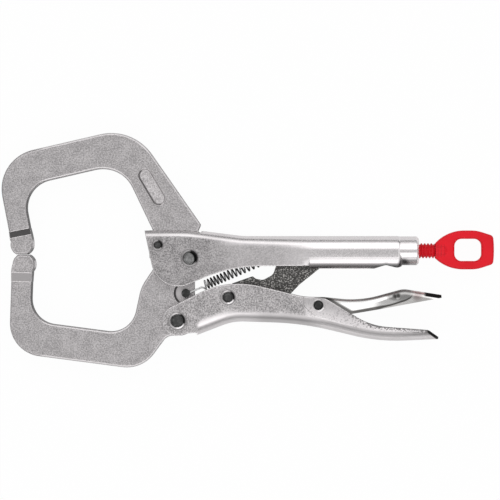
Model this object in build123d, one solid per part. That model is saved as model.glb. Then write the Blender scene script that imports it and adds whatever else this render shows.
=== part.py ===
from build123d import *
import math
import os

# Locking C-clamp pliers, 11 inch size, lying on one side.
# X runs along the handles, Y across them in the plane of the tool and Z along the pivot pins.
# The main pivot is the Z axis, and Z = 0 is the plane that the cheeks rest on.

# Widths across the tool
JAW_THICKNESS = 10.0
SIDE_PLAY = 0.2
SHEET = 2.5
LINK_THICKNESS = 7.5
LEVER_PLAY = 0.3
PIN_FIT = 0.05
SEAT_GAP = 0.3

# Pivots, seen from the main pivot
HANDLE_PIVOT_X = -7.1
HANDLE_PIVOT_Y = -35.6
LINK_PIVOT_X = 21.7
LINK_PIVOT_Y = -22.2
LEVER_PIVOT_X = 73.0
LEVER_PIVOT_Y = -26.8
SPRING_PIN_X = -2.3
SPRING_PIN_Y = -20.0
LOCK_RIVET_X = -18.2
LOCK_RIVET_Y = 7.4
MAIN_PIN_RADIUS = 3.6
HANDLE_PIN_RADIUS = 3.6
LINK_PIN_RADIUS = 2.9
LEVER_PIN_RADIUS = 2.7
LOCK_RIVET_RADIUS = 1.9
PIN_RECESS = 0.4
PIN_DISH = 0.35
RING_WIDTH = 1.2
RING_DEPTH = 0.45

# Clamping tips
TIP_REACH = 95.4
TIP_SHIFT = 1.2
CLAMP_LEVEL = 2.0
TIP_GAP = 0.2
PAD_RADIUS = 6.3
PAD_DEPTH = 5.6
PAD_EDGE = 0.7
FIXED_RAMP = 3.7
MOVABLE_RAMP = 5.1

# Fixed jaw
FIXED_FRONT_TOP_X = -110.8
FIXED_FRONT_TOP_Y = 56.5
FIXED_REAR_TOP_X = -32.5
FIXED_REAR_TOP_Y = 74.6
FIXED_FRONT_BEND = 22.8
FIXED_REAR_BEND = 28.0
FIXED_FRONT_ARM = 12.3
FIXED_TOP_ARM = 18.9
FIXED_REAR_ARM = 20.0
FIXED_FOOT_ARM = 24.2
FIXED_FRONT_THROAT = 16.0
FIXED_REAR_THROAT = 19.0
FORGED_EDGE = 1.3
HEEL_LENGTH = 6.4
FIXED_WAIST = 28.8
FIXED_FOOT = 54.3
PANEL_WIDTH = 8.0
PANEL_LENGTH = 15.0
PANEL_DEPTH = 1.0
PANEL_ALONG = 34.3
PANEL_INSET = 10.6
PANEL_TURN = -4.3

# Movable jaw
MOVABLE_FRONT_BOTTOM_X = -102.9
MOVABLE_FRONT_BOTTOM_Y = -53.6
MOVABLE_REAR_BOTTOM_X = -27.1
MOVABLE_REAR_BOTTOM_Y = -63.5
MOVABLE_FRONT_ARM = 11.9
MOVABLE_BOTTOM_ARM = 19.1
MOVABLE_OUTER_BEND = 19.0
MOVABLE_THROAT = 14.6
HUB_RADIUS = 9.0
HUB_GAP = 0.6
BOSS_RADIUS = 8.5
CLIMB_X = -33.6
CLIMB_Y = -43.9
NECK_X = -20.5
NECK_Y = -5.7
NECK_BEND = 22.0
SPRING_SEAT_RADIUS = 6.8

# Upper handle
HOOD_FRONT = 25.9
HOOD_TOP = 16.5
HOOD_ROUND = 15.4
HOOD_LEAN = 8.3
HOOD_DEPTH = 22.3
SLOPE_START = -1.5
SLOPE_END = 30.2
SLOPE_BEND = 40.0
WAIST_X = 22.9
WAIST_BEND = 88.0
HANDLE_TOP = 12.5
HANDLE_BOTTOM = 4.4
UPPER_BEND = 5.5
TUBE_START = 67.8
TUBE_END = 121.0
TUBE_BOTTOM = 7.2
TUBE_BEND = 7.5
BEND_RUN = 2.8
LIP_PLAY = 0.5
NOTCH_START = 100.0
NOTCH_END = 122.5
NOTCH_HEIGHT = 3.9
COLLAR_HEIGHT = 16.4
COLLAR_WIDTH = 15.0
COLLAR_LENGTH = 9.2
SHOULDER_ROUND = 3.0

# Lower handle
LOWER_BEND = 7.5
LOWER_FRONT = 4.0
EAR_RADIUS = 8.5
FACET_DEPTH = 0.5
END_BEVEL = 1.6

# Toggle link
LINK_BOSS_RADIUS = 6.4
NOSE_X = 80.2
NOSE_RADIUS = 3.2
NOSE_CLEARANCE = 3.2

# Release lever
LEVER_END_X = 143.1
LEVER_END_Y = -21.0
LEVER_SHEET = 2.0
LEVER_BEND = 3.2
DENT_X = 118.0
DENT_Y = -21.9
DENT_ROUND = 3.0
DENT_DEPTH = 0.45

# Adjusting screw and its eye
SCREW_AXIS_Y = 4.1
SCREW_RADIUS = 4.3
THREAD_PITCH = 1.9
THREAD_DEPTH = 0.85
THREAD_SHOWN = 9.4
SPIGOT_RADIUS = 2.4
SPIGOT_LENGTH = 5.0
EYE_LENGTH = 33.8
EYE_HEIGHT = 22.2
EYE_OFFSET = 0.5
EYE_THICKNESS = 6.5
EYE_EDGE = 1.5
EYE_HOLE_LENGTH = 15.4
EYE_SIDE_WALL = 4.8
EYE_END_WALL = 7.4
NECK_RUN = 4.0
NECK_TAPER = 25

# Return spring
WIRE = 1.0
COIL_DIAMETER = 5.7
COIL_TURNS = 17
COIL_START = 11.5
COIL_LENGTH = 40.5
SPRING_END_X = 52.4
HOOK_PIN_RADIUS = 1.25
HOOK_FIT = 0.1
LEG_BEND = 2.2

# Sizes that follow from the ones above
CHANNEL = JAW_THICKNESS + 2 * SIDE_PLAY
WIDTH = CHANNEL + 2 * SHEET
MID = WIDTH / 2
TIP_X = -TIP_REACH
MAIN_PIVOT = (0.0, 0.0)
HANDLE_PIVOT = (HANDLE_PIVOT_X, HANDLE_PIVOT_Y)
LINK_PIVOT = (LINK_PIVOT_X, LINK_PIVOT_Y)
LEVER_PIVOT = (LEVER_PIVOT_X, LEVER_PIVOT_Y)
SPRING_PIN = (SPRING_PIN_X, SPRING_PIN_Y)
LOCK_RIVET = (LOCK_RIVET_X, LOCK_RIVET_Y)
HOOK_RADIUS = HOOK_PIN_RADIUS + HOOK_FIT + WIRE / 2
COIL_RADIUS = (COIL_DIAMETER - WIRE) / 2
COIL_SLOPE = 0.424
SPRING_END = (SPRING_END_X, SPRING_PIN_Y + COIL_SLOPE * (SPRING_END_X - SPRING_PIN_X))
HOOK_HEIGHT = COIL_RADIUS
SEAT_FLOOR = MID + HOOK_HEIGHT - WIRE / 2 - SEAT_GAP
SCREW_TIP_X = NOSE_X + NOSE_CLEARANCE
SCREW_END_X = TUBE_END + COLLAR_LENGTH + THREAD_SHOWN
LIP_SLOT = LINK_THICKNESS + 2 * LIP_PLAY
EYE_HOLE_HEIGHT = EYE_HEIGHT - 2 * EYE_SIDE_WALL
EYE_HOLE_ROUND = EYE_HOLE_HEIGHT * 0.323


def unit(dx, dy):
    length = math.hypot(dx, dy)
    return dx / length, dy / length


def meet(p, d, q, e):
    """The point where the line through p along d meets the line through q along e."""
    cross = d[0] * e[1] - d[1] * e[0]
    along = ((q[0] - p[0]) * e[1] - (q[1] - p[1]) * e[0]) / cross
    return p[0] + d[0] * along, p[1] + d[1] * along


def rounded_edges(corners, closed):
    """Lines and tangent arcs through corners (x, y) or (x, y, radius), and the middle of each."""
    count = len(corners)
    starts, ends, middles = [], [], []
    for i, corner in enumerate(corners):
        x, y = corner[0], corner[1]
        radius = corner[2] if len(corner) > 2 else 0.0
        if radius == 0.0 or (not closed and i in (0, count - 1)):
            starts.append((x, y))
            ends.append((x, y))
            middles.append(None)
            continue
        before, after = corners[i - 1], corners[(i + 1) % count]
        d_in = unit(x - before[0], y - before[1])
        d_out = unit(after[0] - x, after[1] - y)
        half = math.acos(max(-1.0, min(1.0, d_in[0] * d_out[0] + d_in[1] * d_out[1]))) / 2
        tangent = radius * math.tan(half)
        inward = unit(d_out[0] - d_in[0], d_out[1] - d_in[1])
        depth = radius * (1 / math.cos(half) - 1)
        starts.append((x - d_in[0] * tangent, y - d_in[1] * tangent))
        ends.append((x + d_out[0] * tangent, y + d_out[1] * tangent))
        middles.append((x + inward[0] * depth, y + inward[1] * depth))
    edges, centres = [], []
    for i in range(count):
        if middles[i] is not None:
            edges.append(ThreePointArc(starts[i], middles[i], ends[i]))
            centres.append(middles[i])
        if closed or i < count - 1:
            a, b = ends[i], starts[(i + 1) % count]
            if math.hypot(b[0] - a[0], b[1] - a[1]) > 1e-6:
                edges.append(Line(a, b))
                centres.append(((a[0] + b[0]) / 2, (a[1] + b[1]) / 2))
    return edges, centres


def drawn(corners):
    """Corners drawn for a lever pivot at (73.0, -26.8), stretched to where that pivot is."""
    wide = LEVER_PIVOT_X / 73.0
    tall = LEVER_PIVOT_Y / -26.8
    return [(c[0] * wide, c[1] * tall, *[r * wide for r in c[2:]]) for c in corners]


def outline(corners):
    return make_face(rounded_edges(corners, True)[0])


def slab(face, thickness, middle=None):
    """The face given a thickness along Z about a middle plane."""
    middle = MID if middle is None else middle
    return Pos(0, 0, middle - thickness / 2) * extrude(face, thickness)


def disc(centre, radius):
    return Pos(centre[0], centre[1]) * Circle(radius)


def post(centre, radius, low, high):
    """A cylinder along Z."""
    return Pos(centre[0], centre[1], low) * extrude(Circle(radius), high - low)


def shifted(corners, amount):
    """An open run of corners moved sideways, to the left of its direction for a positive amount."""
    moved = []
    count = len(corners)
    for i, corner in enumerate(corners):
        x, y = corner[0], corner[1]
        before = corners[max(i - 1, 0)]
        after = corners[min(i + 1, count - 1)]
        if i in (0, count - 1):
            d = unit(after[0] - before[0], after[1] - before[1])
            moved.append((x - d[1] * amount, y + d[0] * amount))
            continue
        d_in = unit(x - before[0], y - before[1])
        d_out = unit(after[0] - x, after[1] - y)
        p = (before[0] - d_in[1] * amount, before[1] + d_in[0] * amount)
        q = (after[0] - d_out[1] * amount, after[1] + d_out[0] * amount)
        corner_x, corner_y = meet(p, d_in, q, d_out)
        left_turn = d_in[0] * d_out[1] - d_in[1] * d_out[0] > 0
        moved.append((corner_x, corner_y, corner[2] + (-amount if left_turn else amount)))
    return moved


def bent_block(path, far_y, width, bend):
    """A block with one face along the path, reaching to far_y, its two edges on the path rounded."""
    far = [(path[-1][0], far_y), (path[0][0], far_y)]
    block = slab(outline(list(path) + far), width)
    centres = rounded_edges(path, False)[1]
    chosen = []
    for z in (MID - width / 2, MID + width / 2):
        for cx, cy in centres:
            target = Vector(cx, cy, z)
            near = min(block.edges(), key=lambda e: (e.position_at(0.5) - target).length)
            chosen.append(near)
    return fillet(chosen, bend)


def folded_channel(path, side, far_y, width, sheet, bend, trim):
    """A sheet channel whose web follows the path. Side is 1 if the walls rise from it, else -1."""
    block = bent_block(path, far_y, width, bend)
    inner_path = shifted(path, side * sheet)
    reach = 5.0
    first, last = inner_path[0], inner_path[-1]
    d_first = unit(inner_path[1][0] - first[0], inner_path[1][1] - first[1])
    d_last = unit(last[0] - inner_path[-2][0], last[1] - inner_path[-2][1])
    inner_path[0] = (first[0] - d_first[0] * reach, first[1] - d_first[1] * reach)
    inner_path[-1] = (last[0] + d_last[0] * reach, last[1] + d_last[1] * reach)
    cavity = bent_block(inner_path, far_y + side * reach, width - 2 * sheet, bend - sheet)
    return (block - cavity) & slab(trim, 4 * WIDTH)


def pin_holes(centre, radius):
    """A through hole for a pin, with a wide shallow ring sunk in both outer faces."""
    drill = post(centre, radius + PIN_FIT, -1, WIDTH + 1)
    profile = [
        (0, 0),
        (radius + RING_WIDTH, 0),
        (radius + PIN_FIT, RING_DEPTH),
        (0, RING_DEPTH),
    ]
    ring = revolve(make_face(Polyline([(r, 0, z) for r, z in profile], close=True)), Axis.Z)
    return drill + Pos(centre[0], centre[1], 0) * ring + Pos(*centre, WIDTH) * (Rot(180, 0, 0) * ring)


def pivot_pin(centre, radius):
    """A plain pin, its ends a little below the cheeks and slightly hollow."""
    low, high = PIN_RECESS, WIDTH - PIN_RECESS
    profile = [
        (0, low + PIN_DISH),
        (radius * 0.72, low + PIN_DISH),
        (radius - 0.5, low),
        (radius - 0.25, low),
        (radius, low + 0.25),
        (radius, high - 0.25),
        (radius - 0.25, high),
        (radius - 0.5, high),
        (radius * 0.72, high - PIN_DISH),
        (0, high - PIN_DISH),
    ]
    face = make_face(Polyline([(r, 0, z) for r, z in profile], close=True))
    return Pos(centre[0], centre[1], 0) * revolve(face, Axis.Z)


def jaw_tip(arm_face, direction, lean, ramp):
    """The wide clamping pad at an arm's end, with sloping shoulders. Direction is 1 for the fixed jaw."""
    pad_x = TIP_X if direction > 0 else TIP_X + TIP_SHIFT
    centre = (pad_x, CLAMP_LEVEL + direction * PAD_DEPTH)
    face_y = CLAMP_LEVEL + direction * TIP_GAP / 2
    pad_top = PAD_RADIUS * 0.75
    reach = pad_top + ramp
    arm_end = Pos(*centre) * (Rot(0, 0, lean) * (Pos(0, direction * reach / 2) * Rectangle(40, reach)))
    pad = disc(centre, PAD_RADIUS)
    pad -= Pos(pad_x, face_y - direction * 20) * Rectangle(60, 40)
    pad = slab(pad, WIDTH)
    rims = pad.faces().sort_by(Axis.Z)
    pad = chamfer(rims[0].edges() + rims[-1].edges(), PAD_EDGE)
    blank = pad + slab(arm_face & arm_end, WIDTH)
    half, slim = WIDTH / 2, JAW_THICKNESS / 2
    section = [
        (-30, -half),
        (pad_top, -half),
        (reach, -slim),
        (reach, slim),
        (pad_top, half),
        (-30, half),
    ]
    points = [(-40, direction * v, w) for v, w in section]
    prism = extrude(make_face(Polyline(points, close=True)), 80, dir=(1, 0, 0))
    prism = Pos(centre[0], centre[1], MID) * (Rot(0, 0, lean) * prism)
    return blank & prism


def forging(corners):
    """A forged arm: the outline at the jaws' thickness with its edges rounded."""
    body = slab(outline(corners), JAW_THICKNESS)
    faces = body.faces().sort_by(Axis.Z)
    return fillet(faces[0].edges() + faces[-1].edges(), FORGED_EDGE)


def moved_line(p, q, amount):
    """The line through p and q moved to its left by amount, as a point and a direction."""
    d = unit(q[0] - p[0], q[1] - p[1])
    return (p[0] - d[1] * amount, p[1] + d[0] * amount), d


def beside(start, d, along, right):
    """The point so far along d from the start, and so far to the right of it."""
    return start[0] + d[0] * along + d[1] * right, start[1] + d[1] * along - d[0] * right


def fixed_jaw():
    tip_left = (TIP_X - 6.5, CLAMP_LEVEL + 8.3)
    front = (FIXED_FRONT_TOP_X, FIXED_FRONT_TOP_Y)
    rear = (FIXED_REAR_TOP_X, FIXED_REAR_TOP_Y)
    heel = (HEEL_LENGTH, HOOD_TOP + 2.4)
    front_line = moved_line(tip_left, front, -FIXED_FRONT_ARM)
    top_line = moved_line(front, rear, -FIXED_TOP_ARM)
    # the rear arm widens towards the hood
    down = unit(heel[0] - rear[0], heel[1] - rear[1])
    slim = beside(rear, down, FIXED_WAIST, FIXED_REAR_ARM)
    wide = beside(rear, down, FIXED_FOOT, FIXED_FOOT_ARM)
    rear_line = (slim, unit(wide[0] - slim[0], wide[1] - slim[1]))
    throat_front = meet(*front_line, *top_line)
    throat_rear = meet(*top_line, *rear_line)
    base_y = HOOD_TOP - 7.0
    base_x = meet(*rear_line, (0, base_y), (1, 0))[0]
    tip_y = CLAMP_LEVEL + PAD_DEPTH
    tip_right = meet(*front_line, (0, tip_y), (1, 0))[0]
    corners = [
        (tip_left[0] + 1.2, tip_y),
        (*tip_left, 4.0),
        (*front, FIXED_FRONT_BEND),
        (*rear, FIXED_REAR_BEND),
        (*heel, 1.6),
        (HEEL_LENGTH - 1.6, HOOD_TOP - 1.0),
        (HEEL_LENGTH - 1.6, base_y),
        (base_x, base_y),
        (*throat_rear, FIXED_REAR_THROAT),
        (*throat_front, FIXED_FRONT_THROAT),
        (tip_right, tip_y),
    ]
    arm = forging(corners)
    lean = math.degrees(math.atan2(front[1] - tip_left[1], front[0] - tip_left[0])) - 90
    jaw = arm + jaw_tip(outline(corners), 1, lean, FIXED_RAMP)
    # the foot that the hood holds, hollowed round the other jaw's hub
    clear = HUB_RADIUS + HUB_GAP
    foot_front = -HOOD_FRONT + 3.0
    slope = math.radians(115)
    edge_point = (clear * math.cos(slope), clear * math.sin(slope))
    edge = (math.sin(slope), -math.cos(slope))
    foot_low = meet(edge_point, edge, (foot_front, 0), (0, 1))
    foot = outline(
        [
            (foot_front, HOOD_TOP - 0.8),
            (HEEL_LENGTH - 1.6, HOOD_TOP - 0.8),
            (HEEL_LENGTH - 1.6, 0),
            edge_point,
            foot_low,
        ]
    )
    jaw += slab(foot - disc(MAIN_PIVOT, clear), JAW_THICKNESS)
    jaw -= post(LOCK_RIVET, LOCK_RIVET_RADIUS + PIN_FIT, 0, WIDTH)
    # the long sunk panel on the rear arm
    angle = math.degrees(math.atan2(down[1], down[0])) + PANEL_TURN
    panel = SlotCenterToCenter(PANEL_LENGTH, PANEL_WIDTH - 2 * PANEL_DEPTH)
    sunk = Rot(0, 0, angle) * extrude(panel, 1.5 * PANEL_DEPTH, taper=-45)
    x, y = beside(rear, down, PANEL_ALONG, PANEL_INSET)
    return jaw - Pos(x, y, MID + JAW_THICKNESS / 2 - PANEL_DEPTH) * sunk


def movable_jaw():
    tip_left = (TIP_X - 5.9, CLAMP_LEVEL - 9.5)
    front = (MOVABLE_FRONT_BOTTOM_X, MOVABLE_FRONT_BOTTOM_Y)
    rear = (MOVABLE_REAR_BOTTOM_X, MOVABLE_REAR_BOTTOM_Y)
    front_line = moved_line(tip_left, front, MOVABLE_FRONT_ARM)
    bottom_line = moved_line(front, rear, MOVABLE_BOTTOM_ARM)
    throat_front = meet(*front_line, *bottom_line)
    # the inner side climbs steeply, then leans back to the hub
    climb = ((CLIMB_X, CLIMB_Y), unit(5.9, 27.4))
    neck = ((NECK_X, NECK_Y), unit(0.555, 0.832))
    throat_rear = meet(*bottom_line, *climb)
    neck_corner = meet(*climb, *neck)
    slope = math.radians(115)
    edge = ((HUB_RADIUS * math.cos(slope), HUB_RADIUS * math.sin(slope)), (math.sin(slope), -math.cos(slope)))
    shoulder = meet(*neck, *edge)
    hub_top = meet(*edge, (HUB_RADIUS, 0), (0, 1))
    back_x = SPRING_PIN_X + 5.1
    boss_low = HANDLE_PIVOT_Y - BOSS_RADIUS
    tip_y = CLAMP_LEVEL - PAD_DEPTH
    tip_right = meet(*front_line, (0, tip_y), (1, 0))[0]
    corners = [
        (tip_right, tip_y),
        (*throat_front, MOVABLE_THROAT),
        (*throat_rear, MOVABLE_THROAT),
        (*neck_corner, NECK_BEND),
        (*shoulder, 3.0),
        (*hub_top, HUB_RADIUS),
        (HUB_RADIUS, -4.0, 3.0),
        (back_x, -12.5, 2.0),
        (back_x, boss_low, BOSS_RADIUS),
        (HANDLE_PIVOT_X - 5.7, boss_low, 6.8),
        (*rear, MOVABLE_OUTER_BEND),
        (*front, MOVABLE_OUTER_BEND),
        (*tip_left, 6.0),
        (tip_left[0] + 0.6, tip_y),
    ]
    arm = forging(corners)
    lean = math.degrees(math.atan2(front[1] - tip_left[1], front[0] - tip_left[0])) + 90
    jaw = arm + jaw_tip(outline(corners), -1, lean, MOVABLE_RAMP)
    jaw -= post(MAIN_PIVOT, MAIN_PIN_RADIUS + PIN_FIT, 0, WIDTH)
    jaw -= post(HANDLE_PIVOT, HANDLE_PIN_RADIUS + PIN_FIT, 0, WIDTH)
    jaw -= post(SPRING_PIN, SPRING_SEAT_RADIUS, SEAT_FLOOR, WIDTH)
    opening = Pos(SPRING_PIN_X + 8, SPRING_PIN_Y) * Rectangle(16, 2 * SPRING_SEAT_RADIUS)
    jaw -= Pos(0, 0, SEAT_FLOOR) * extrude(opening, WIDTH)
    return jaw - post(SPRING_PIN, HOOK_PIN_RADIUS + PIN_FIT, 0, WIDTH)


def spring_pin():
    """A headed pin through the movable jaw. The head keeps the spring's hook on it."""
    low = MID - JAW_THICKNESS / 2 + 0.3
    head = MID + HOOK_HEIGHT + WIRE / 2 + SEAT_GAP
    top = MID + JAW_THICKNESS / 2 - 0.2
    pin = post(SPRING_PIN, HOOK_PIN_RADIUS, low, top)
    return pin + post(SPRING_PIN, HOOK_RADIUS + WIRE / 2 + 0.1, head, top)


def upper_handle():
    slope_start = (SLOPE_START, HOOD_TOP, SLOPE_BEND)
    slope_end = (SLOPE_END, HANDLE_TOP, SLOPE_BEND)
    straight = SLOPE_END + BEND_RUN
    path = [(-HOOD_FRONT, HOOD_TOP), slope_start, slope_end, (straight, HANDLE_TOP)]
    front_side = [
        (-HOOD_FRONT, HOOD_TOP + 5),
        (-HOOD_FRONT, HOOD_TOP),
        (-HOOD_FRONT + HOOD_LEAN, -HOOD_DEPTH, HOOD_ROUND),
        (WAIST_X, -HANDLE_BOTTOM - 0.3, WAIST_BEND),
        (TUBE_START, -HANDLE_BOTTOM),
        (TUBE_START, HOOD_TOP + 5),
    ]
    far_y = HANDLE_PIVOT_Y - HUB_RADIUS
    body = folded_channel(path, -1, far_y, WIDTH, SHEET, UPPER_BEND, outline(front_side))
    # the bend grows rounder from the hood to the rear
    depth = HANDLE_TOP - far_y
    sections = []
    for x, bend in ((straight, UPPER_BEND), (TUBE_START, TUBE_BEND)):
        place = Pos(x, HANDLE_TOP - depth / 2, MID)
        outer = place * tube_section(WIDTH, depth, bend, 0)
        inner = place * tube_section(CHANNEL, depth - 2 * SHEET, bend - SHEET, 0)
        sections.append((outer, inner))
    (first_outer, first_inner), (last_outer, last_inner) = sections
    rolled = loft([first_outer, last_outer]) - loft([first_inner, last_inner])
    body += rolled & slab(outline(front_side), 2 * WIDTH)
    # the rear is rolled into a tube with a slot below
    height = HANDLE_TOP + TUBE_BOTTOM
    middle = (HANDLE_TOP - TUBE_BOTTOM) / 2
    outer = tube_section(WIDTH, height, TUBE_BEND, TUBE_BEND)
    inner = tube_section(CHANNEL, height - 2 * SHEET, TUBE_BEND - SHEET, TUBE_BEND - SHEET)
    length = TUBE_END - TUBE_START
    tube = extrude(outer, length, dir=(1, 0, 0))
    end_edges = tube.faces().sort_by(Axis.X)[-1].edges()
    tube = fillet(end_edges, SHOULDER_ROUND)
    tube -= extrude(inner, length - SHEET, dir=(1, 0, 0))
    tube -= Pos(0, -height / 2, 0) * Box(4 * length, 2 * TUBE_BEND, LIP_SLOT)
    body += Pos(TUBE_START, middle, MID) * tube
    # the tube is pinched from below ahead of the neck
    low = -2 * TUBE_BOTTOM
    pinch = [
        (NOTCH_START, low),
        (NOTCH_START, -TUBE_BOTTOM),
        (NOTCH_START + 2.0, -TUBE_BOTTOM + 0.3, 7.0),
        (NOTCH_END - 11.1, -NOTCH_HEIGHT, 4.6),
        (NOTCH_END - 4.5, -TUBE_BOTTOM + 1.6, 3.0),
        (NOTCH_END, -TUBE_BOTTOM + 3.3),
        (NOTCH_END, low),
    ]
    body -= slab(outline(pinch), 2 * WIDTH)
    # the neck is closed round and threaded for the screw
    axle = Plane(origin=(TUBE_END - SHEET, SCREW_AXIS_Y, MID), x_dir=(0, 1, 0), z_dir=(1, 0, 0))
    collar = extrude(axle * Ellipse(COLLAR_HEIGHT / 2, COLLAR_WIDTH / 2), COLLAR_LENGTH + SHEET)
    collar = chamfer(collar.faces().sort_by(Axis.X)[-1].edges(), 1.1)
    body += collar
    body -= extrude(axle * Circle(SCREW_RADIUS + PIN_FIT), COLLAR_LENGTH + 2 * SHEET, both=True)
    # the jaw's foot enters through the open top of the hood
    slot_end = HEEL_LENGTH + SEAT_GAP
    slot_length = HOOD_FRONT + slot_end
    slot = Box(slot_length + 2, 20, CHANNEL)
    body -= Pos(slot_end - slot_length / 2 - 1, HOOD_TOP, MID) * slot
    body -= pin_holes(MAIN_PIVOT, MAIN_PIN_RADIUS)
    body -= pin_holes(LOCK_RIVET, LOCK_RIVET_RADIUS)
    # a bar between the walls takes the spring's rear hook
    return body + post(SPRING_END, HOOK_PIN_RADIUS, SHEET / 2, WIDTH - SHEET / 2)


def tube_section(width, height, top_round, bottom_round):
    """A rectangle in the plane across the handle, with its own rounding above and below."""
    half_w, half_h = width / 2, height / 2
    corners = [
        (half_h, -half_w, top_round),
        (half_h, half_w, top_round),
        (-half_h, half_w, bottom_round),
        (-half_h, -half_w, bottom_round),
    ]
    return Plane(origin=(0, 0, 0), x_dir=(0, 1, 0), z_dir=(1, 0, 0)) * outline(corners)


def lower_handle():
    front_low, *rest = drawn(
        [
            (4.0, -43.9),
            (24.6, -36.0, 30.0),
            (64.1, -37.3, 160.0),
            (107.5, -47.7, 105.0),
            (141.6, -46.2),
        ]
    )
    path = [(LOWER_FRONT, front_low[1]), *rest]
    ear = (HANDLE_PIVOT_X, HANDLE_PIVOT_Y)
    upper = drawn(
        [
            (21.8, -11.7, 51.0),
            (64.4, -22.0, 30.0),
            (76.4, -22.5, 14.0),
            (103.7, -38.8, 38.0),
            (136.0, -41.2),
            (141.3, -44.9),
            (141.3, -60.0),
        ]
    )
    side = outline(
        [
            (ear[0] - EAR_RADIUS * 0.459, ear[1] + EAR_RADIUS * 0.888),
            *upper,
            (LOWER_FRONT, upper[-1][1]),
            (LOWER_FRONT, front_low[1] + SHEET * 0.6),
            (ear[0], ear[1] - EAR_RADIUS * 0.882),
        ]
    )
    side += disc(ear, EAR_RADIUS)
    front = Pos(LOWER_FRONT - 20, -40) * Rectangle(40, 60)
    ears = slab(side & front, WIDTH) - slab(side & front, CHANNEL)
    body = folded_channel(path, 1, 0.0, WIDTH, SHEET, LOWER_BEND, side) + ears
    # the walls are pressed in a little round the lever
    facet = outline(
        drawn(
            [
                (64.4, -10.0),
                (64.4, -27.0, 5.0),
                (71.0, -32.8, 6.0),
                (95.0, -39.5),
                (110.0, -39.5),
                (110.0, -10.0),
            ]
        )
    )
    for low in (0, WIDTH - FACET_DEPTH):
        body -= Pos(0, 0, low) * extrude(facet, FACET_DEPTH)
    # the slanting end is sheared at an angle through each wall
    end_top, end_low = upper[-3], upper[-2]
    d = unit(end_low[0] - end_top[0], end_low[1] - end_top[1])
    shear = [(0, SHEET), (END_BEVEL, 0), (END_BEVEL, -SHEET), (-SHEET, -SHEET), (-SHEET, SHEET)]
    for flip in (False, True):
        points = []
        for inward, z in shear:
            x = end_top[0] - d[0] * SHEET + d[1] * inward
            y = end_top[1] - d[1] * SHEET - d[0] * inward
            points.append((x, y, WIDTH - z if flip else z))
        wedge = make_face(Polyline(points, close=True))
        body -= extrude(wedge, 5 * SHEET, dir=(d[0], d[1], 0))
    for centre, radius in (
        (HANDLE_PIVOT, HANDLE_PIN_RADIUS),
        (LINK_PIVOT, LINK_PIN_RADIUS),
        (LEVER_PIVOT, LEVER_PIN_RADIUS),
    ):
        body -= pin_holes(centre, radius)
    return body


def toggle_link():
    boss = LINK_PIVOT
    upper = drawn(
        [
            (35.7, -10.4, 0.8),
            (37.5, -11.8, 1.5),
            (41.5, -12.6, 3.0),
            (47.5, -9.5, 5.0),
            (49.0, -4.5, 4.0),
            (58.5, 3.4, 4.0),
            (66.0, 7.3, 4.0),
        ]
    )
    lower = drawn(
        [
            (62.7, -14.8, 30.0),
            (57.3, -20.3, 2.0),
            (54.0, -23.8, 2.0),
        ]
    )
    arm = outline(
        [
            (boss[0] + LINK_BOSS_RADIUS * 0.36, boss[1] + LINK_BOSS_RADIUS * 1.203),
            *upper,
            (NOSE_X, SCREW_AXIS_Y + NOSE_RADIUS * 1.03, NOSE_RADIUS),
            (NOSE_X, SCREW_AXIS_Y - NOSE_RADIUS * 1.53, NOSE_RADIUS),
            *lower,
            (boss[0] + LINK_BOSS_RADIUS * 0.313, boss[1] - LINK_BOSS_RADIUS * 0.953),
            boss,
        ]
    )
    return slab(arm + disc(boss, LINK_BOSS_RADIUS), LINK_THICKNESS) - post(
        LINK_PIVOT, LINK_PIN_RADIUS + PIN_FIT, 0, WIDTH
    )


def release_lever():
    width = CHANNEL - 2 * LEVER_PLAY
    far_y = 2 * HANDLE_PIVOT_Y
    path = drawn(
        [
            (57.5, -26.5),
            (66.0, -22.4, 14.0),
            (76.0, -22.2, 30.0),
            (97.0, -24.4, 60.0),
            (121.5, -17.6, 12.0),
        ]
    )
    path.append((LEVER_END_X, LEVER_END_Y))
    side = drawn(
        [
            (57.5, -10.0),
            (57.5, -27.5),
            (61.0, -30.5, 3.0),
            (73.0, -32.6, 8.0),
            (86.0, -30.5, 6.0),
            (91.2, -31.9, 5.0),
            (105.0, -29.6, 40.0),
        ]
    )
    side.append((LEVER_END_X, LEVER_END_Y - LEVER_SHEET * 0.8))
    side.append((LEVER_END_X, side[0][1]))
    body = folded_channel(path, -1, far_y, width, LEVER_SHEET, LEVER_BEND, outline(side))
    # each wall has a small dent where the lever's spoon begins
    out = width / 2 + DENT_ROUND - DENT_DEPTH
    for z in (MID - out, MID + out):
        body -= Pos(DENT_X, DENT_Y, z) * Sphere(DENT_ROUND)
    return body - post(LEVER_PIVOT, LEVER_PIN_RADIUS + PIN_FIT, 0, WIDTH)


def adjusting_screw():
    """The threaded shank, as a turned body with one groove for each turn of the thread."""
    root = SCREW_RADIUS - THREAD_DEPTH
    turns = int((SCREW_END_X - SCREW_TIP_X - 3.0) / THREAD_PITCH)
    start = SCREW_END_X - 0.6 - turns * THREAD_PITCH
    points = [(SCREW_TIP_X, 0), (SCREW_TIP_X, root - 0.6), (SCREW_TIP_X + 0.6, root), (start, root)]
    for i in range(turns):
        x = start + i * THREAD_PITCH
        points.append((x + THREAD_PITCH * 0.38, SCREW_RADIUS))
        points.append((x + THREAD_PITCH * 0.62, SCREW_RADIUS))
        points.append((x + THREAD_PITCH, root))
    points += [(SCREW_END_X, root), (SCREW_END_X, SPIGOT_RADIUS)]
    points += [(SCREW_END_X + SPIGOT_LENGTH, SPIGOT_RADIUS), (SCREW_END_X + SPIGOT_LENGTH, 0)]
    profile = make_face(Polyline([(x, SCREW_AXIS_Y + r, MID) for x, r in points], close=True))
    return revolve(profile, Axis((0, SCREW_AXIS_Y, MID), (1, 0, 0)))


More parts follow.
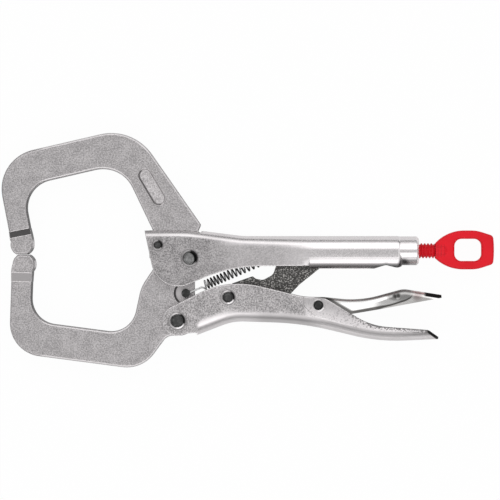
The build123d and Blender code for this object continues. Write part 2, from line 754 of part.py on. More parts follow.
def screw_eye():
    """The eye at the screw's end, which the hand turns, held on the shank's spigot."""
    start = SCREW_END_X + PIN_FIT
    end = SCREW_END_X + EYE_LENGTH
    centre = SCREW_AXIS_Y + EYE_OFFSET
    neck = SCREW_RADIUS - 0.1
    run = EYE_LENGTH * 0.2
    corners = []
    for sign in (1, -1):
        # each shoulder is one arc from the neck to the side
        side_y = centre + sign * EYE_HEIGHT / 2
        rise = abs(side_y - SCREW_AXIS_Y) - neck
        arc = 0.98 * math.hypot(run, rise) / math.tan(math.atan2(rise, run) / 2)
        half = [
            (start, SCREW_AXIS_Y + sign * neck),
            (start + run, side_y, arc),
            (start + EYE_LENGTH * 0.7, side_y, EYE_HEIGHT * 0.909),
            (end - EYE_HEIGHT * 0.036, centre + sign * EYE_HEIGHT * 0.364, EYE_HEIGHT * 0.114),
        ]
        if sign > 0:
            corners = [*half, (end, centre, EYE_HEIGHT * 2.73)]
        else:
            corners += reversed(half)
    body = slab(outline(corners), EYE_THICKNESS)
    hole_x = end - EYE_END_WALL - EYE_HOLE_LENGTH / 2
    hole = Pos(hole_x, centre) * RectangleRounded(EYE_HOLE_LENGTH, EYE_HOLE_HEIGHT, EYE_HOLE_ROUND)
    body -= slab(hole, 2 * WIDTH)
    faces = body.faces().sort_by(Axis.Z)
    rims = [e for e in faces[0].edges() + faces[-1].edges() if e.center().X > start + 0.5]
    body = fillet(rims, EYE_EDGE)
    axle = Plane(origin=(start, SCREW_AXIS_Y, MID), x_dir=(0, 1, 0), z_dir=(1, 0, 0))
    body += extrude(axle * Circle(neck), SPIGOT_LENGTH)
    body += Pos(SPIGOT_LENGTH, 0, 0) * extrude(axle * Circle(neck), NECK_RUN, taper=NECK_TAPER)
    return body - extrude(axle * Circle(SPIGOT_RADIUS + PIN_FIT), SPIGOT_LENGTH + PIN_FIT)


# The return spring's wire is drawn in its own frame, with the coil's axis along the first direction.


def to_tool(point):
    """A point (along, across, out) of the spring's frame, in the tool's frame."""
    d = unit(SPRING_END[0] - SPRING_PIN[0], SPRING_END[1] - SPRING_PIN[1])
    along, across, out = point
    x = SPRING_PIN[0] + d[0] * along - d[1] * across
    y = SPRING_PIN[1] + d[1] * along + d[0] * across
    return Vector(x, y, MID + out)


def turn_to_tool(direction):
    return to_tool(direction) - to_tool((0, 0, 0))


def biarc(p0, t0, p1, t1):
    """Two arcs that leave p0 along t0 and reach p1 along t1, with the point where they meet."""
    v = p1 - p0
    t = t0 + t1
    bend = 2 * (1 - t0.dot(t1))
    if bend < 1e-9:
        reach = v.dot(v) / (4 * v.dot(t0))
    else:
        reach = (-v.dot(t) + math.sqrt(v.dot(t) ** 2 + bend * v.dot(v))) / bend
    joint = (p0 + p1 + (t0 - t1) * reach) * 0.5
    heading = ((p1 - t1 * reach) - (p0 + t0 * reach)).normalized()
    return [TangentArc(p0, joint, tangent=t0), TangentArc(joint, p1, tangent=heading)]


def coil_point(turns):
    """The coil's wire after so many turns: its place and its heading."""
    angle = 2 * math.pi * turns
    pitch = COIL_LENGTH / COIL_TURNS
    place = (COIL_START + pitch * turns, COIL_RADIUS * math.sin(angle), COIL_RADIUS * math.cos(angle))
    rate = 2 * math.pi * COIL_RADIUS
    length = math.hypot(rate, pitch)
    heading = (pitch / length, rate * math.cos(angle) / length, -rate * math.sin(angle) / length)
    return to_tool(place), turn_to_tool(heading)


def spring_route():
    """The wire's places and headings: front hook, coil and rear hook."""
    far = math.hypot(SPRING_END[0] - SPRING_PIN[0], SPRING_END[1] - SPRING_PIN[1])
    route = []
    for degrees in (60, 165, 270):
        angle = math.radians(degrees)
        place = (HOOK_RADIUS * math.cos(angle), HOOK_RADIUS * math.sin(angle), HOOK_HEIGHT)
        heading = (-math.sin(angle), math.cos(angle), 0)
        route.append((to_tool(place), turn_to_tool(heading)))
    ahead = turn_to_tool((1, 0, 0))
    route.append((to_tool((COIL_START - LEG_BEND, -HOOK_RADIUS, HOOK_HEIGHT)), ahead))
    for quarter in range(4 * COIL_TURNS + 1):
        route.append(coil_point(quarter / 4))
    coil_end = COIL_START + COIL_LENGTH
    route.append((to_tool((coil_end + LEG_BEND, HOOK_RADIUS, HOOK_HEIGHT)), ahead))
    for degrees in (90, 345, 240):
        angle = math.radians(degrees)
        place = (far + HOOK_RADIUS * math.cos(angle), HOOK_RADIUS * math.sin(angle), HOOK_HEIGHT)
        heading = (math.sin(angle), -math.cos(angle), 0)
        route.append((to_tool(place), turn_to_tool(heading)))
    return route


def return_spring():
    route = spring_route()
    first_place, first_heading = route[0]
    last_place, last_heading = route[-1]
    edges = [Line(first_place - first_heading * WIRE, first_place)]
    for (p0, t0), (p1, t1) in zip(route, route[1:]):
        if (p0 + t0 * t0.dot(p1 - p0) - p1).length < 1e-6:
            edges.append(Line(p0, p1))
        else:
            edges += biarc(p0, t0, p1, t1)
    edges.append(Line(last_place, last_place + last_heading * WIRE))
    print("least gap of the spring's wire to itself:", round(least_gap(edges), 2), "mm")
    start = edges[0]
    section = Plane(origin=start @ 0, z_dir=start % 0) * Circle(WIRE / 2)
    return sweep(section, path=Wire(edges))


def least_gap(edges):
    """The smallest clear distance between parts of the wire that aren't neighbours along it."""
    points, run, travelled = [], [], 0.0
    for edge in edges:
        count = max(2, int(edge.length / 0.35))
        for i in range(count):
            points.append(edge @ (i / count))
            run.append(travelled + edge.length * i / count)
        travelled += edge.length
    apart = 3 * WIRE
    least = math.inf
    for i, p in enumerate(points):
        for j in range(i + 1, len(points)):
            if run[j] - run[i] > apart:
                least = min(least, (p - points[j]).length)
    return least - WIRE


PIECES = {
    "upper_handle": upper_handle,
    "fixed_jaw": fixed_jaw,
    "jaw_lock_rivet": lambda: pivot_pin(LOCK_RIVET, LOCK_RIVET_RADIUS),
    "main_pivot_rivet": lambda: pivot_pin(MAIN_PIVOT, MAIN_PIN_RADIUS),
    "movable_jaw": movable_jaw,
    "spring_pin": spring_pin,
    "lower_handle": lower_handle,
    "handle_pivot_rivet": lambda: pivot_pin(HANDLE_PIVOT, HANDLE_PIN_RADIUS),
    "link_rivet": lambda: pivot_pin(LINK_PIVOT, LINK_PIN_RADIUS),
    "lever_rivet": lambda: pivot_pin(LEVER_PIVOT, LEVER_PIN_RADIUS),
    "toggle_link": toggle_link,
    "release_lever": release_lever,
    "return_spring": return_spring,
    "adjusting_screw": adjusting_screw,
    "screw_eye": screw_eye,
}

os.makedirs("parts", exist_ok=True)
for name, make in PIECES.items():
    shape = make()
    export_step(shape, f"parts/{name}.step")
    box = shape.bounding_box()
    print(name, len(shape.solids()), "solid", round(shape.volume), "mm3", box.min, box.max)
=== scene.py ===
import math
from types import SimpleNamespace

import bpy
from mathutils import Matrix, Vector

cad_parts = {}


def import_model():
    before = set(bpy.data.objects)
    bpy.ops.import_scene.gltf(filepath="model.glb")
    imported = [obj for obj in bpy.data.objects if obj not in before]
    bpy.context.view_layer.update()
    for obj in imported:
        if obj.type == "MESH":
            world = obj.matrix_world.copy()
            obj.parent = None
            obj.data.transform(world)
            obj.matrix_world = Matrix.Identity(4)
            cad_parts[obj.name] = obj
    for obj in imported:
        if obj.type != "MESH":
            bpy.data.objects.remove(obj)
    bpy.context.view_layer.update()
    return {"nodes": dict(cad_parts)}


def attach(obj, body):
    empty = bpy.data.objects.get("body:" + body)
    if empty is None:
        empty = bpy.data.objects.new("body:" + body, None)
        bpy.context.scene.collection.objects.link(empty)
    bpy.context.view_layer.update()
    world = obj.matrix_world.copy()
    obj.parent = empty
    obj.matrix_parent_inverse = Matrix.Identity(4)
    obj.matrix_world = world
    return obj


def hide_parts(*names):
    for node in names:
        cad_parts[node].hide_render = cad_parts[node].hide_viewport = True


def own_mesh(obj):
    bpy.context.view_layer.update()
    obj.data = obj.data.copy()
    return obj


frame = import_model()
nodes = frame["nodes"]

# Sizes that shapes and finishes share, in metres
MM = 0.001
WIDTH = 15.4 * MM
MID = WIDTH / 2
PITCH = 1.9 * MM

# Places on the tool's plane, in millimetres from the main pivot, with a pin's radius as the third number
UPPER_PIVOTS = ((0.0, 0.0, 3.6), (-18.2, 7.4, 1.9))
LOWER_PIVOTS = ((-7.1, -35.6, 3.6), (21.7, -22.2, 2.9), (73.0, -26.8, 2.7))
MAIN_PIN = (0.0, 0.0)
MAIN_PIN_LIT = (-1.5, -0.7)
SPRING_SEAT = (-2.3, -20.0)
PANEL_CENTRE = (-21.55, 40.4)
PANEL_ANGLE = math.radians(-59.4)
PANEL_HALF = 7.5
# the upper handle: its upper bend at the front, and the pinch and its shade below the tube
CREST = ((-32.0, 12.4), (-1.5, 12.4), (24.0, 9.2))
PINCH = ((102.0, -6.9), (111.4, -3.9), (118.0, -5.6))
PINCH_SHADE = (121.4, -3.4)
# the tube's side falls by its crown times the squared distance from its middle, up to a half width
TUBE_MIDDLE = 3.4
TUBE_CROWN = 0.017
TUBE_CROWN_HALF = 3.5
# the wall in front of the tube turns under below this level
WALL_LEVEL = -0.1
WALL_TURN = 0.0727
# the lower handle: its lower outline, its torn upper edge and its sheared end
LOWER_EDGE = (
    (4.0, -43.9),
    (18.9, -38.2),
    (24.7, -36.6),
    (30.7, -36.2),
    (47.9, -36.8),
    (63.9, -38.1),
    (79.9, -41.1),
    (93.2, -44.3),
    (107.4, -46.7),
    (122.3, -47.1),
    (141.6, -46.2),
)
TORN = ((80.0, -24.6), (103.7, -38.4), (136.0, -41.2))
SHEARED = ((136.0, -41.2), (141.3, -44.9))
# the lever: its lower and upper edges, and where shade and a reflection are painted near its end
LEVER_LOW = ((91.2, -31.9), (143.1, -22.7))
LEVER_TOP = ((121.5, -17.6), (143.1, -21.0))
LEVER_LEVEL = -23.5
LEAF = ((111.7, -21.9), (130.0, -17.3))
LEAF_MIDDLE = ((LEAF[0][0] + LEAF[1][0]) / 2, (LEAF[0][1] + LEAF[1][1]) / 2)
LEAF_NARROWING = 2.0
FOLD = (
    (100.0, -29.4),
    (112.1, -27.2),
    (119.2, -25.1),
    (124.0, -23.3),
    (126.2, -21.6),
    (127.4, -19.0),
)
DENT = ((116.6, -21.8), (118.4, -21.4))
RED_REFLECTION_SPOT = (129.4, -21.5)
# a curve's heights are kept as shares of this depth
CURVE_DEPTH = -100.0


# Node helpers, with all lengths in millimetres
class Tree:
    """A few short ways to add shader nodes to a material."""

    def __init__(self, tree):
        self.tree = tree
        self.nodes = tree.nodes
        self.nodes.clear()

    def add(self, kind, **settings):
        node = self.nodes.new(kind)
        for key, value in settings.items():
            setattr(node, key, value)
        return node

    def link(self, source, target):
        self.tree.links.new(source, target)

    def put(self, value, socket):
        """Links a socket, or sets a plain value."""
        if isinstance(value, bpy.types.NodeSocket):
            self.link(value, socket)
        else:
            socket.default_value = value

    def maths(self, operation, a, b=0.0):
        node = self.add("ShaderNodeMath", operation=operation)
        self.put(a, node.inputs[0])
        self.put(b, node.inputs[1])
        return node.outputs[0]

    def times(self, first, *others):
        """The product of two or more values."""
        for other in others:
            first = self.maths("MULTIPLY", first, other)
        return first

    def plus(self, a, b):
        return self.maths("ADD", a, b)

    def minus(self, a, b):
        return self.maths("SUBTRACT", a, b)

    def larger(self, a, b):
        return self.maths("MAXIMUM", a, b)

    def smaller(self, a, b):
        return self.maths("MINIMUM", a, b)

    def length(self, a, b):
        """The long side of a triangle with a right angle between a and b."""
        return self.maths("SQRT", self.plus(self.times(a, a), self.times(b, b)))

    def span(self, value, low, high, start=0.0, end=1.0, smooth=True):
        """Maps low..high to start..end."""
        node = self.add("ShaderNodeMapRange")
        if smooth:
            node.interpolation_type = "SMOOTHSTEP"
        self.put(value, node.inputs["Value"])
        node.inputs["From Min"].default_value = low
        node.inputs["From Max"].default_value = high
        self.put(start, node.inputs["To Min"])
        self.put(end, node.inputs["To Max"])
        return node.outputs["Result"]

    def vary(self, noise, start=0.0, end=1.0):
        """Spreads a noise's usual range over start..end."""
        return self.span(noise, 0.3, 0.7, start, end)

    def between(self, value, low, rise, fall, high):
        """A mask that is 1 between rise and fall, and 0 below low and above high."""
        return self.times(self.span(value, low, rise), self.span(value, fall, high, 1.0, 0.0))

    def mix(self, factor, a, b):
        """A colour between two colours."""
        node = self.add("ShaderNodeMix", data_type="RGBA")
        self.put(factor, node.inputs["Factor"])
        self.put(a, node.inputs[6])
        self.put(b, node.inputs[7])
        return node.outputs[2]

    def blend(self, factor, a, b):
        """A value between two values."""
        node = self.add("ShaderNodeMix", data_type="FLOAT")
        self.put(factor, node.inputs["Factor"])
        self.put(a, node.inputs[2])
        self.put(b, node.inputs[3])
        return node.outputs[0]

    def between_normals(self, factor, a, b):
        """A normal between two normals."""
        node = self.add("ShaderNodeMix", data_type="VECTOR")
        self.put(factor, node.inputs["Factor"])
        self.link(a, node.inputs[4])
        self.link(b, node.inputs[5])
        return node.outputs[1]

    def place(self):
        """The surface's place in the piece's own frame, in metres, which noises take."""
        return self.add("ShaderNodeTexCoord").outputs["Object"]

    def parts(self, vector):
        node = self.add("ShaderNodeSeparateXYZ")
        self.link(vector, node.inputs[0])
        return node.outputs

    def spot(self, place):
        """A place's x, y and z in millimetres."""
        node = self.add("ShaderNodeVectorMath", operation="SCALE")
        self.link(place, node.inputs[0])
        node.inputs["Scale"].default_value = 1 / MM
        return self.parts(node.outputs[0])

    def noise(self, place, scale, detail=2.0, rough=0.5):
        node = self.add("ShaderNodeTexNoise")
        self.link(place, node.inputs["Vector"])
        node.inputs["Scale"].default_value = scale
        node.inputs["Detail"].default_value = detail
        node.inputs["Roughness"].default_value = rough
        return node.outputs["Fac"]

    def turned(self):
        """The surface's normal in the piece's own frame."""
        turn = self.add("ShaderNodeVectorTransform", vector_type="NORMAL")
        turn.convert_from = "WORLD"
        turn.convert_to = "OBJECT"
        self.link(self.add("ShaderNodeNewGeometry").outputs["Normal"], turn.inputs[0])
        return self.parts(turn.outputs[0])

    def facing(self):
        """How far a surface faces along the pins: 1 on the flat sides, 0 on the edges."""
        return self.maths("ABSOLUTE", self.turned()[2])

    def rounded(self, radius):
        """The normal of a surface whose sharp edges are rounded off by a radius."""
        bevel = self.add("ShaderNodeBevel", samples=6)
        bevel.inputs["Radius"].default_value = radius * MM
        return bevel.outputs[0]

    def edge_mask(self, rounded, start=0.002, full=0.08):
        """A mask of the rounded edges, where finishes paint wear and highlights."""
        dot = self.add("ShaderNodeVectorMath", operation="DOT_PRODUCT")
        self.link(rounded, dot.inputs[0])
        self.link(self.add("ShaderNodeNewGeometry").outputs["Normal"], dot.inputs[1])
        return self.span(self.minus(1.0, dot.outputs["Value"]), start, full)

    def apart(self, x, y, point):
        """The distance from a point of the tool's plane."""
        return self.length(self.minus(x, point[0]), self.minus(y, point[1]))

    def towards(self, x, y, point, aim):
        """1 straight from a point in the aimed direction, 0 at its sides and -1 the other way."""
        right = self.times(self.minus(x, point[0]), aim[0])
        up = self.times(self.minus(y, point[1]), aim[1])
        return self.maths("DIVIDE", self.plus(right, up), self.apart(x, y, point))

    def beyond(self, x, y, start, end):
        """How far a point of the tool's plane is to the left of the line from start to end."""
        run, rise = end[0] - start[0], end[1] - start[1]
        size = math.hypot(run, rise)
        across = self.times(self.minus(y, start[1]), run / size)
        along = self.times(self.minus(x, start[0]), rise / size)
        return self.minus(across, along)

    def above_curve(self, x, y, points):
        """How far a point of the tool's plane is above a smooth curve through points."""
        low, high = points[0][0], points[-1][0]
        node = self.add("ShaderNodeFloatCurve")
        line = node.mapping.curves[0]
        for right, height in points[1:-1]:
            line.points.new((right - low) / (high - low), height / CURVE_DEPTH)
        line.points[0].location = (0.0, points[0][1] / CURVE_DEPTH)
        line.points[-1].location = (1.0, points[-1][1] / CURVE_DEPTH)
        node.mapping.update()
        self.link(self.span(x, low, high, smooth=False), node.inputs["Value"])
        return self.minus(y, self.times(node.outputs[0], CURVE_DEPTH))

    def bump(self, height, strength, depth, under=None):
        node = self.add("ShaderNodeBump")
        node.inputs["Strength"].default_value = strength
        node.inputs["Distance"].default_value = depth * MM
        self.link(height, node.inputs["Height"])
        if under is not None:
            self.link(under, node.inputs["Normal"])
        return node.outputs["Normal"]

    def finish(self, colour, roughness, normal=None, **settings):
        shader = self.add("ShaderNodeBsdfPrincipled")
        self.put(colour, shader.inputs["Base Color"])
        self.put(roughness, shader.inputs["Roughness"])
        if normal is not None:
            self.link(normal, shader.inputs["Normal"])
        for name, value in settings.items():
            self.put(value, shader.inputs[name.replace("_", " ")])
        output = self.add("ShaderNodeOutputMaterial")
        self.link(shader.outputs[0], output.inputs[0])


def material(name):
    made = bpy.data.materials.new(name)
    made.use_nodes = True
    return made, Tree(made.node_tree)


def grey(value, warm=0.0):
    return (value * (1 + warm), value, value * (1 - warm), 1)


def nickel(value):
    """Nickel plate's faintly warm grey."""
    return (value * 1.03, value * 0.99, value, 1)


# the near-black that is painted as shade on sheared ends
SHEARED_SHADE = grey(0.02)


# Materials
def grainy(t, place):
    """The blasted plate's speckle, of grains under a millimetre wide, and the wider mottle under it."""
    grain = t.noise(place, 1250, 1.0, 0.6)
    fine = t.noise(place, 2600, 0.0)
    mottle = t.noise(place, 150)
    tone = t.blend(0.4, grain, fine)
    tone = t.blend(0.18, tone, mottle)
    return grain, t.span(tone, 0.4, 0.6, smooth=False), mottle


def panel_masks(t, x, y):
    """Masks of the sunk panel's floor, its wall on the left, where shade is painted, and its wall on the
    right, where a highlight is painted.
    """
    right = t.minus(x, PANEL_CENTRE[0])
    up = t.minus(y, PANEL_CENTRE[1])
    cosine, sine = math.cos(PANEL_ANGLE), math.sin(PANEL_ANGLE)
    along = t.plus(t.times(right, cosine), t.times(up, sine))
    across = t.minus(t.times(up, cosine), t.times(right, sine))
    past = t.larger(t.minus(t.maths("ABSOLUTE", along), PANEL_HALF), 0.0)
    away = t.length(past, across)
    panel_floor = t.span(away, 3.0, 2.8)
    wall = t.between(away, 2.8, 3.0, 3.9, 4.1)
    dark = t.times(wall, t.span(across, 0.2, -0.8))
    return panel_floor, dark, t.minus(wall, dark)


def blasted_nickel(name):
    """Nickel plate on a shot-blasted forging, painted bright along its edges as wear and a highlight, with
    painted shade on its steep sides.
    """
    made, t = material(name)
    place = t.place()
    x, y, z = t.spot(place)
    grain, tone, _ = grainy(t, place)
    facing = t.facing()
    rounded = t.rounded(0.6)
    colour = t.mix(tone, nickel(0.3), nickel(0.6))
    at_tip = t.span(x, -82, -86)
    # painted bright on the edges' fillets and rounded edges: wear on the plate and a painted highlight
    rim_wear_and_highlight = t.between(facing, 0.45, 0.65, 0.95, 0.995)
    rim_wear_and_highlight = t.times(rim_wear_and_highlight, t.span(x, -86, -82, 0.2, 1.0))
    rim_wear_and_highlight = t.larger(rim_wear_and_highlight, t.times(t.edge_mask(rounded), 0.8))
    colour = t.mix(rim_wear_and_highlight, colour, nickel(0.72))
    # painted shade on the steep sides
    colour = t.mix(t.span(facing, 0.55, 0.3), colour, nickel(0.2))
    # painted shade on the throat's side of the front arms
    scale = t.times(t.span(t.turned()[0], 0.66, 0.9), t.span(x, -78, -86))
    colour = t.mix(scale, colour, nickel(0.1))
    # painted shade on the fixed tip's shoulder and on the movable tip's ramp, and painted highlight lines
    # along the tips' edges
    shoulder = t.times(t.between(facing, 0.77, 0.79, 0.83, 0.85), at_tip, t.span(y, 8, 10))
    colour = t.mix(shoulder, colour, nickel(0.13))
    ramp = t.times(t.between(facing, 0.86, 0.872, 0.89, 0.9), at_tip, t.span(y, 0, -2))
    colour = t.mix(ramp, colour, nickel(0.4))
    lines = t.times(t.edge_mask(t.rounded(0.4), 0.0008, 0.006), at_tip, t.span(facing, 0.75, 0.78))
    colour = t.mix(lines, colour, nickel(0.9))
    # painted highlight on the pads' far edges
    past_pad = t.minus(x, t.span(y, 4, 0, -89.6, -88.5))
    pad = t.times(t.span(past_pad, 0, 0.5), t.between(y, -8, -6, 11, 13), at_tip)
    colour = t.mix(pad, colour, nickel(0.6))
    # the panel's floor is lighter, with painted shade in its left wall and a painted highlight on its
    # right wall; the spring's seat is painted light against its recess's shade, with a painted shadow in
    # its left corner
    panel_floor, dark, light = panel_masks(t, x, y)
    colour = t.mix(panel_floor, colour, t.mix(tone, nickel(0.4), nickel(0.74)))
    colour = t.mix(dark, colour, nickel(0.3))
    colour = t.mix(light, colour, nickel(0.72))
    from_pin = t.apart(x, y, SPRING_SEAT)
    seat = t.times(t.span(from_pin, 6.9, 6.7), t.span(z, 11.5, 11))
    colour = t.mix(t.times(seat, t.span(x, 1, -1)), colour, nickel(0.62))
    corner = t.times(seat, t.between(from_pin, 5.6, 5.9, 6.7, 6.9), t.span(x, -5.5, -6.5))
    colour = t.mix(corner, colour, nickel(0.1))
    roughness = t.blend(rim_wear_and_highlight, 0.5, 0.36)
    normal = t.bump(grain, 0.3, 0.1, rounded)
    t.finish(colour, roughness, normal, Metallic=1.0)
    return made


def pin_marks(t, x, y, pivots):
    """Masks round the rivets: all the plate near them, a ring of painted shade, a crescent of painted
    shadow and a crescent of painted highlight.
    """
    near, ring, crescent, glint = 0.0, 0.0, 0.0, 0.0
    for centre_x, centre_y, radius in pivots:
        centre = (centre_x, centre_y)
        away = t.minus(t.apart(x, y, centre), radius)
        near = t.larger(near, t.span(away, 2.4, 1.9))
        ring = t.larger(ring, t.between(away, 1.0, 1.3, 1.5, 1.8))
        right = t.span(t.towards(x, y, centre, (0.9, 0.43)), 0.3, 0.65)
        crescent = t.larger(crescent, t.times(right, t.between(away, -0.3, 0, 0.8, 1.3)))
        below = t.span(t.towards(x, y, centre, (0.5, -0.87)), 0.72, 0.92)
        above = t.span(t.towards(x, y, centre, (-0.1, 0.99)), 0.75, 0.97, 0.0, 0.4)
        lit = t.times(t.larger(below, above), t.between(away, -0.3, 0.1, 0.6, 1.1))
        glint = t.larger(glint, lit)
    return near, ring, crescent, glint


def pressed_sheet(t, place, dark, light, hollow, pivots):
    """The look that both handles share: grainy walls, smoother bends, a mask of cut edges for wear and
    painted highlight, and painted shade round the rivets.
    """
    x, y, _ = t.spot(place)
    grain, tone, mottle = grainy(t, place)
    facing = t.facing()
    colour = t.mix(tone, nickel(dark), nickel(light))
    bend = t.span(facing, 0.995, 0.93)
    colour = t.mix(bend, colour, t.mix(mottle, nickel(0.58), nickel(0.68)))
    near, ring, crescent, glint = pin_marks(t, x, y, pivots)
    rounded = t.rounded(1.1)
    edge_mask = t.edge_mask(rounded)
    # the countersinks round the rivets are painted in shade, with a ring of painted shade and a crescent
    # of painted shadow
    sunk = t.times(near, t.larger(edge_mask, bend))
    colour = t.mix(sunk, colour, nickel(hollow))
    colour = t.mix(t.times(ring, 0.65), colour, nickel(0.19))
    colour = t.mix(crescent, colour, nickel(0.03))
    edge = t.times(edge_mask, t.minus(1.0, near))
    return SimpleNamespace(
        grain=grain,
        mottle=mottle,
        facing=facing,
        colour=colour,
        bend=bend,
        edge=edge,
        rounded=rounded,
        glint=glint,
    )


def upper_nickel(name):
    """The upper handle's plate, with a smooth bright rear and painted shade along the pinch below the
    tube.
    """
    made, t = material(name)
    place = t.place()
    x, y, _ = t.spot(place)
    sheet = pressed_sheet(t, place, 0.21, 0.55, 0.28, UPPER_PIVOTS)
    # the channel is lighter towards the tube, and a painted highlight widens the bright band below its
    # upper bend
    colour = t.mix(t.span(x, 6, 30, 0.0, 0.4), sheet.colour, nickel(0.66))
    crest = t.smaller(t.beyond(x, y, CREST[0], CREST[1]), t.beyond(x, y, CREST[1], CREST[2]))
    crest = t.times(t.span(crest, -1, 0.3), t.span(x, 20, 12, 0.0, 0.8))
    colour = t.mix(crest, colour, nickel(0.72))
    wear_and_sheen = t.times(t.span(y, 5.8, 8.6), t.span(x, 12, 26, 0.0, 0.75))
    colour = t.mix(wear_and_sheen, colour, nickel(0.72))
    # the tube is brightest along its middle, darker towards its top, and painted in shade towards its
    # seam, where it turns under
    rear = t.span(x, 45, 78)
    bright = t.mix(sheet.mottle, nickel(0.8), nickel(0.88))
    bright = t.mix(t.span(y, 9.8, 11.2), bright, nickel(0.7))
    seam = t.times(t.span(y, -2.2, -3.6), t.span(x, 66, 68))
    bright = t.mix(seam, bright, nickel(0.34))
    colour = t.mix(rear, colour, bright)
    # edges painted bright: wear on the plate and a painted highlight
    colour = t.mix(sheet.edge, colour, nickel(0.92))
    # painted shade along the pinch below the tube, and a painted shadow beside it
    pinch = t.larger(t.beyond(x, y, PINCH[0], PINCH[1]), t.beyond(x, y, PINCH[1], PINCH[2]))
    pinch = t.times(t.span(pinch, 2, 0.3), t.between(x, 100, 104, 120, 122.5))
    colour = t.mix(pinch, colour, grey(0.28))
    shade = t.span(t.apart(x, y, PINCH_SHADE), 4.2, 1.8, 0.0, 0.92)
    colour = t.mix(shade, colour, nickel(0.09))
    smooth = t.larger(sheet.bend, rear)
    roughness = t.blend(smooth, 0.5, t.vary(sheet.grain, 0.2, 0.3))
    roughness = t.blend(sheet.edge, roughness, 0.24)
    # the tube's side is rounder than its sheet's bend, and the wall in front of it turns under
    off = t.minus(y, TUBE_MIDDLE)
    off = t.larger(t.smaller(off, TUBE_CROWN_HALF), -TUBE_CROWN_HALF)
    crown = t.times(off, off, rear, -TUBE_CROWN)
    wall = t.times(t.span(sheet.facing, 0.985, 0.999), t.span(x, 63, 66.2))
    low = t.larger(t.minus(WALL_LEVEL, y), 0.0)
    turned_under = t.times(t.maths("POWER", low, 1.5), wall, -WALL_TURN)
    normal = t.bump(t.plus(crown, turned_under), 1.0, 1.0, sheet.rounded)
    depth = t.times(sheet.grain, t.span(smooth, 0.0, 1.0, 1.0, 0.05))
    normal = t.bump(depth, 0.4, 0.12, normal)
    t.finish(colour, roughness, normal, Metallic=1.0)
    return made


def lower_nickel(name):
    """The lower handle's plate, with a rough rear edge and painted shade on its sheared end."""
    made, t = material(name)
    place = t.place()
    x, y, _ = t.spot(place)
    sheet = pressed_sheet(t, place, 0.25, 0.66, 0.42, LOWER_PIVOTS)
    height = t.above_curve(x, y, LOWER_EDGE)
    # a painted highlight fades the front's bend into the flat, and the bend is darker in the middle
    swept = t.times(t.between(height, 3.6, 5, 6.2, 9), t.between(x, 3.5, 6.5, 12, 32))
    colour = t.mix(swept, sheet.colour, nickel(0.86))
    middle = t.times(sheet.bend, t.between(x, 32, 44, 66, 78), 0.7)
    colour = t.mix(middle, colour, nickel(0.42))
    # the plate is smoother and lighter behind a wavy line at the lever's rivet
    wavy = t.plus(x, t.times(t.noise(place, 260, 1.0), 4))
    smooth = t.times(t.span(wavy, 66.5, 68.5), t.minus(1.0, sheet.bend), 0.85)
    wear_and_sheen = t.mix(t.span(height, 15, 6.5), nickel(0.56), nickel(0.86))
    wear_and_sheen = t.mix(t.span(sheet.grain, 0.5, 0.68, 0.0, 0.75), wear_and_sheen, nickel(0.36))
    colour = t.mix(smooth, colour, wear_and_sheen)
    # its bend there has painted shade in a crease, with a painted highlight line below it
    behind = t.span(x, 64, 80)
    crease = t.times(t.between(height, 3, 3.7, 4.8, 5.6), behind, 0.85)
    colour = t.mix(crease, colour, nickel(0.36))
    lit = t.times(t.between(height, 1.2, 1.9, 2.6, 3.4), behind, 0.5)
    colour = t.mix(lit, colour, nickel(0.9))
    # painted highlights round the rivets
    colour = t.mix(sheet.glint, colour, nickel(0.99))
    # cut edges are painted bright, as wear and a painted highlight, but the rear's upper edge is torn and
    # dark
    torn = t.span(x, 82, 95)
    cut = t.times(sheet.edge, t.span(torn, 0.0, 1.0, 1.0, 0.0))
    colour = t.mix(cut, colour, nickel(0.92))
    inside = t.smaller(t.beyond(x, y, TORN[0], TORN[1]), t.beyond(x, y, TORN[1], TORN[2]))
    ragged = t.plus(inside, t.times(t.span(sheet.grain, 0.35, 0.65), 2.2))
    ragged = t.times(t.span(ragged, -0.2, 0.6, 0.0, 0.85), torn)
    colour = t.mix(ragged, colour, nickel(0.15))
    # painted shade on the sheared end
    sheared = t.span(t.beyond(x, y, SHEARED[1], SHEARED[0]), 1.8, 1.5)
    sheared = t.times(sheared, t.span(x, 134.5, 135.5))
    colour = t.mix(sheared, colour, SHEARED_SHADE)
    roughness = t.blend(sheet.bend, 0.5, t.vary(sheet.grain, 0.3, 0.4))
    roughness = t.blend(sheet.edge, roughness, 0.28)
    roughness = t.blend(sheared, roughness, 0.6)
    depth = t.times(sheet.grain, t.span(sheet.bend, 0.0, 1.0, 1.0, 0.3))
    normal = t.bump(depth, 0.4, 0.12, sheet.rounded)
    t.finish(colour, roughness, normal, Metallic=1.0)
    return made


